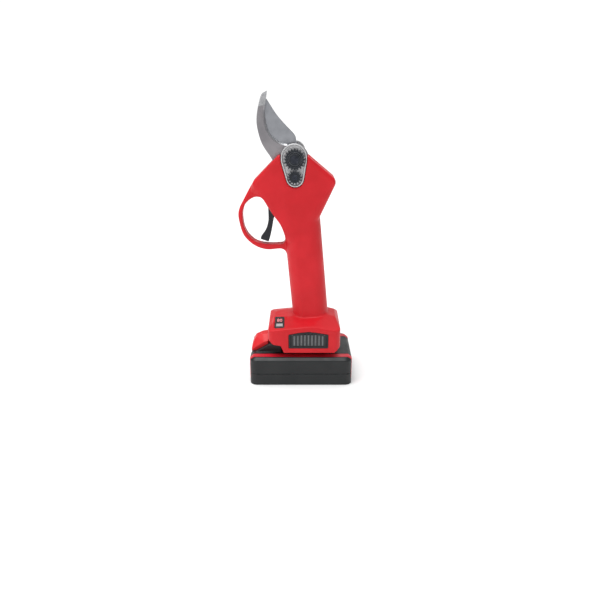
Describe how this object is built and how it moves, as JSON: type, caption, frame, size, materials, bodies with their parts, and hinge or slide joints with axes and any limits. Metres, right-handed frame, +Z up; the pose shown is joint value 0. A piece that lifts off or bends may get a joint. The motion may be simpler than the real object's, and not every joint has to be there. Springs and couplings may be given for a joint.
{
  "type": "battery electric pruner",
  "caption": "Hand-held battery electric pruner with a fixed hook blade, a geared moving blade, a trigger in a guard loop and a slide-on battery pack it stands on.",
  "frame": {"origin": "centre of the battery pack's flat underside, which the tool stands on", "axes": "+Z up towards the blades, -X towards the trigger, -Y the side with the adjusting nut"},
  "size_m": [0.1199, 0.075, 0.2992],
  "materials": {
    "red_shell": "satin moulded, fine texture",
    "red_button": "satin",
    "red_stripe": "satin",
    "black_plastic": "fine moulded texture",
    "grey_plastic": "fine moulded texture",
    "window": "clear tinted",
    "button_grey": "satin",
    "blade_steel": "satin, ground edge",
    "gear_steel": "machined",
    "bright_steel": "polished",
    "black_oxide": "black oxide",
    "aluminium": "cast, lightly blasted",
    "bronze": "machined",
    "copper": "wound and lacquered",
    "board": "solder mask",
    "lead_red": "insulation",
    "cell_wrap": "shrink wrap"
  },
  "bodies": {
    "tool": {"housing_near": "red_shell", "housing_far": "red_shell", "housing_screws": "black_oxide", "cover_plate": "aluminium", "gear_case": "aluminium", "hook_blade": "blade_steel", "hook_screws": "black_oxide", "thrust_washer": "bronze", "pivot_bolt": "black_oxide", "adjusting_nut": "black_oxide", "lock_gear": "black_oxide", "lock_screw": "bright_steel", "output_bearings": "bright_steel", "ring_gear": "gear_steel", "motor_can": "black_oxide", "motor_end_cap": "black_plastic", "trigger_pin": "bright_steel", "trigger_spring": "bright_steel", "sensor_board": "board", "control_board": "board", "power_parts": "black_plastic", "motor_leads": "lead_red", "battery_leads": "black_plastic", "display_bezel": "black_plastic", "display_window": "window", "display_board": "board", "vent_near": "black_plastic", "vent_far": "black_plastic", "terminal_block": "black_plastic", "terminal_blades": "copper"},
    "blade": {"cutting_blade": "blade_steel", "blade_bush": "bronze", "crown_gear": "gear_steel", "crown_rivets": "bright_steel"},
    "output": {"planet_carrier": "gear_steel", "drive_pinion": "gear_steel"},
    "planet_1": {"planet_gear_1": "gear_steel"},
    "planet_2": {"planet_gear_2": "gear_steel"},
    "planet_3": {"planet_gear_3": "gear_steel"},
    "rotor": {"motor_rotor": "copper", "sun_gear": "gear_steel"},
    "trigger": {"trigger": "black_plastic", "trigger_magnet": "bright_steel"},
    "power_button": {"power_button": "button_grey"},
    "battery": {"pack_upper_case": "grey_plastic", "pack_lower_case": "grey_plastic", "pack_stripes": "red_stripe", "release_springs": "bright_steel", "battery_cells": "cell_wrap", "cell_holder": "black_plastic", "pack_board": "board", "pack_contacts": "copper", "charge_socket": "black_plastic", "pack_screws": "black_oxide"},
    "release": {"release_button": "red_button"}
  },
  "joints": [
    {"name": "motor_spin", "type": "hinge", "parent": "tool", "child": "rotor", "pos_m": [-0.00626, 0, 0.2355], "axis": [-0.0906, 0, 0.9959], "range_deg": [0, 770]},
    {"name": "output_spin", "type": "hinge", "parent": "tool", "child": "output", "pos_m": [-0.00626, 0, 0.2355], "axis": [-0.0906, 0, 0.9959], "range_deg": [-2, 222]},
    {"name": "blade_swing", "type": "hinge", "parent": "tool", "child": "blade", "pos_m": [-0.00626, 0, 0.2355], "axis": [0, 1, 0], "range_deg": [-0.5, 50.5]},
    {"name": "planet_1_spin", "type": "hinge", "parent": "output", "child": "planet_1", "pos_m": [0.00593, 0, 0.18841], "axis": [-0.0906, 0, 0.9959], "range_deg": [-740, 7]},
    {"name": "planet_2_spin", "type": "hinge", "parent": "output", "child": "planet_2", "pos_m": [-0.00583, 0.00682, 0.18734], "axis": [-0.0906, 0, 0.9959], "range_deg": [-740, 7]},
    {"name": "planet_3_spin", "type": "hinge", "parent": "output", "child": "planet_3", "pos_m": [-0.00583, -0.00682, 0.18734], "axis": [-0.0906, 0, 0.9959], "range_deg": [-740, 7]},
    {"name": "trigger_pull", "type": "hinge", "parent": "tool", "child": "trigger", "pos_m": [-0.02726, 0, 0.1935], "axis": [0, -1, 0], "range_deg": [0, 14], "stiffness_Nm_per_rad": 0.3, "springref_deg": -2.86},
    {"name": "power_press", "type": "slide", "parent": "tool", "child": "power_button", "axis": [0, 0.4067, -0.9135], "range_m": [0, 0.0008], "stiffness_N_per_m": 600, "springref_m": -0.0004},
    {"name": "pack_slide", "type": "slide", "parent": "tool", "child": "battery", "axis": [-1, 0, 0], "range_m": [0, 0.075]},
    {"name": "release_press", "type": "slide", "parent": "battery", "child": "release", "axis": [0, 0, -1], "range_m": [0, 0.004], "stiffness_N_per_m": 800, "springref_m": -0.002, "deforming": ["release_springs"]}
  ],
  "couplings": [
    {"joint": "output_spin", "follows": "motor_spin", "ratio": 0.28571},
    {"joint": "blade_swing", "follows": "motor_spin", "ratio": 0.064935},
    {"joint": "planet_1_spin", "follows": "motor_spin", "ratio": -0.95238},
    {"joint": "planet_2_spin", "follows": "motor_spin", "ratio": -0.95238},
    {"joint": "planet_3_spin", "follows": "motor_spin", "ratio": -0.95238}
  ]
}
